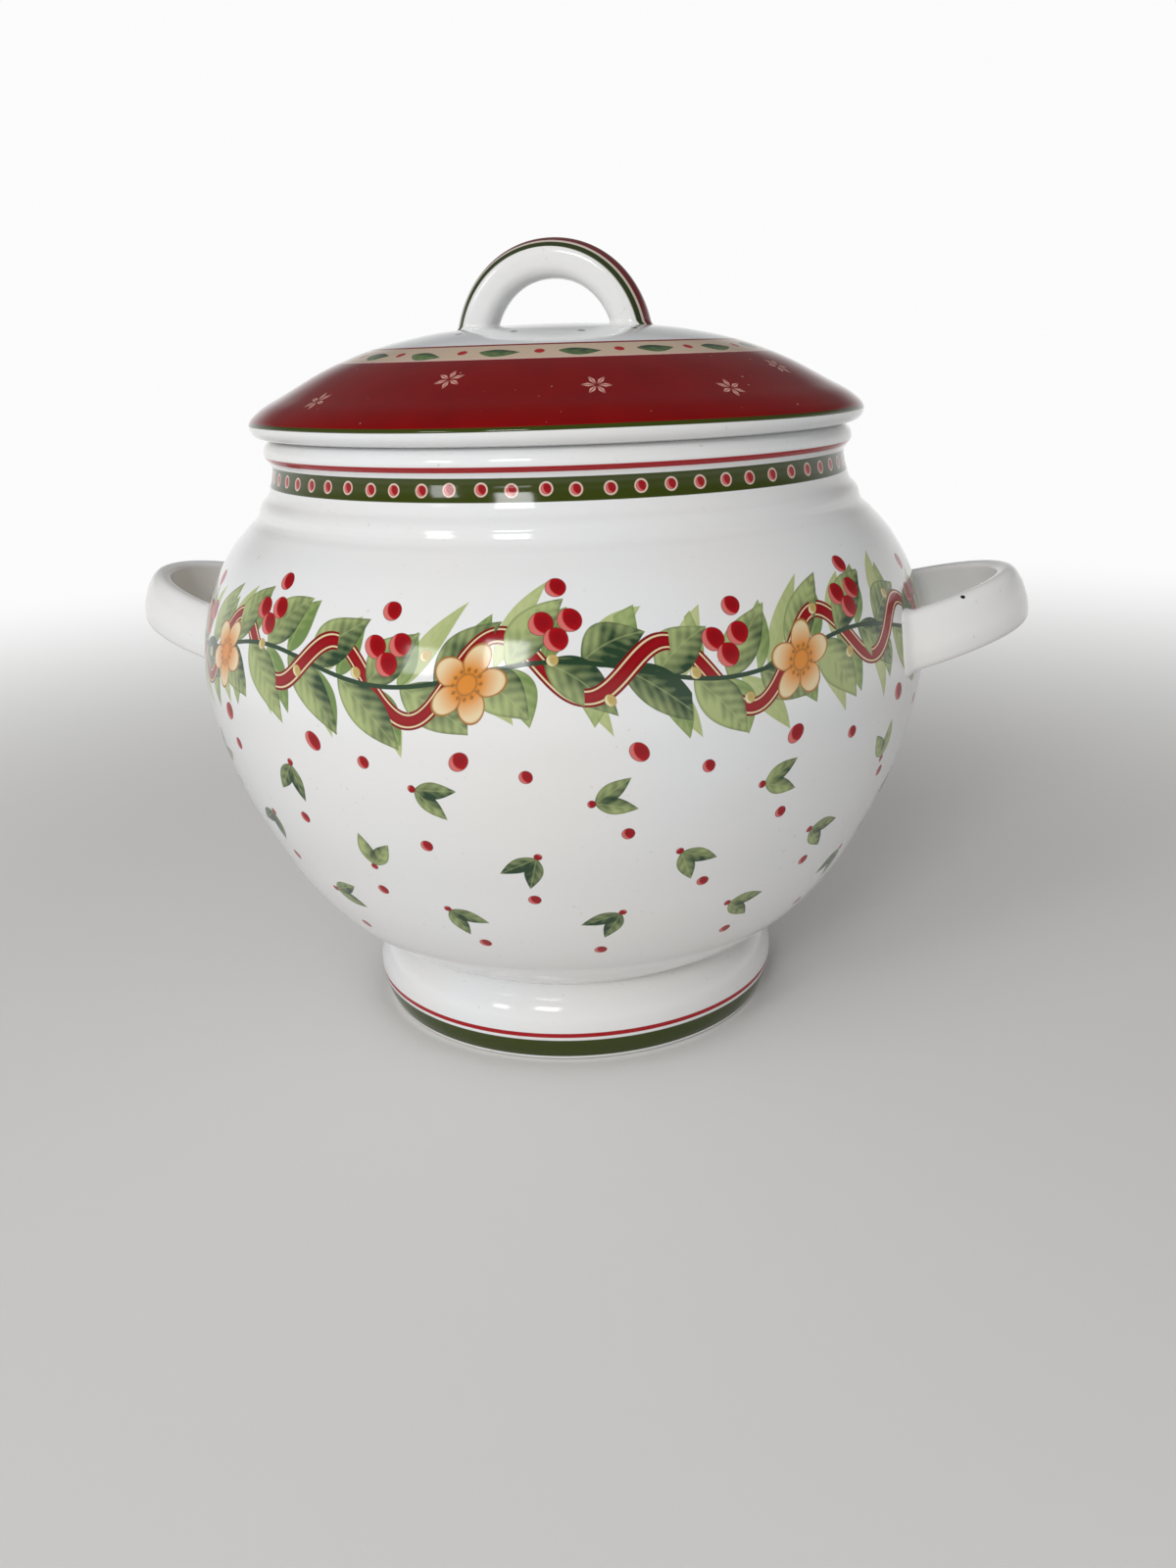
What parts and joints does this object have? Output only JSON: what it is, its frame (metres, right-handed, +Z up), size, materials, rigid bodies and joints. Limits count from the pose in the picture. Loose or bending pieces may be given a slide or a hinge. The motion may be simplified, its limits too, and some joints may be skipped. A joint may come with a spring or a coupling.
{
  "type": "lidded punch pot",
  "caption": "Round-bellied porcelain punch pot on a foot ring, with strap handles at its sides and a lift-off domed lid with an arched handle.",
  "frame": {"origin": "on the pot's axis, in the plane that its foot ring stands on", "axes": "+Z up along the pot's axis, +X through the two side handles, +Y across them"},
  "size_m": [0.2168, 0.1714, 0.1809],
  "materials": {
    "white_glaze": "gloss",
    "lid_glaze": "gloss"
  },
  "bodies": {
    "pot": {"pot_bowl": "white_glaze", "foot_ring": "white_glaze", "handle_left": "white_glaze", "handle_right": "white_glaze"},
    "lid": {"lid": "lid_glaze", "lid_locating_ring": "white_glaze", "lid_handle": "white_glaze"}
  },
  "joints": [
    {"name": "lid_lift", "type": "slide", "parent": "pot", "child": "lid", "axis": [0, 0, 1], "range_m": [0, 0.08]}
  ]
}
